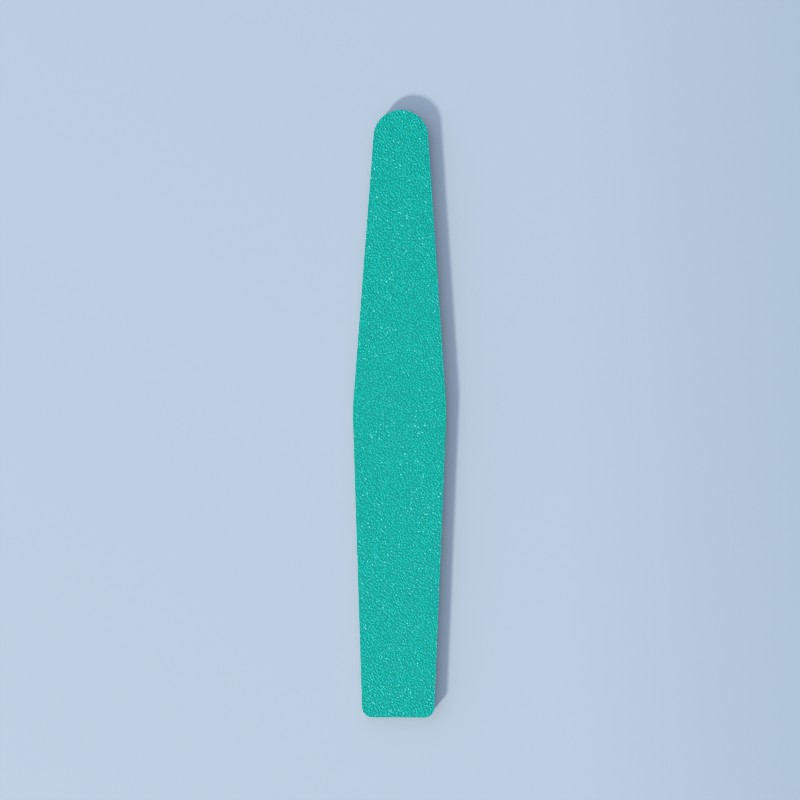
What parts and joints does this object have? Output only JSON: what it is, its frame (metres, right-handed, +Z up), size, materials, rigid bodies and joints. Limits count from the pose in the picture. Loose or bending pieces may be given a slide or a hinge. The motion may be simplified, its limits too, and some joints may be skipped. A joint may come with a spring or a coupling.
{
  "type": "emery board",
  "caption": "Flat cushioned nail file with a round nose and a wide belly: abrasive paper over foam pads on both faces of a stiff plastic core.",
  "frame": {"origin": "under the board's widest point, half way along its length and in the middle of its width, on the face that it rests on", "axes": "+Y along the board, from the square butt to the round nose; +Z up out of the coarse face; +X across the board, to the right with the nose pointing away"},
  "size_m": [0.0272, 0.178, 0.004],
  "materials": {
    "coarse_grit": "satin",
    "fine_grit": "satin",
    "backing_paper": "matte",
    "adhesive_film": "satin",
    "foam": "matte",
    "core_plastic": "satin"
  },
  "bodies": {
    "root": {"top_grit_coat": "coarse_grit", "top_backing_paper": "backing_paper", "top_paper_adhesive": "adhesive_film", "top_foam_pad": "foam", "top_core_adhesive": "adhesive_film", "core_board": "core_plastic", "bottom_core_adhesive": "adhesive_film", "bottom_foam_pad": "foam", "bottom_paper_adhesive": "adhesive_film", "bottom_backing_paper": "backing_paper", "bottom_grit_coat": "fine_grit"}
  },
  "joints": []
}
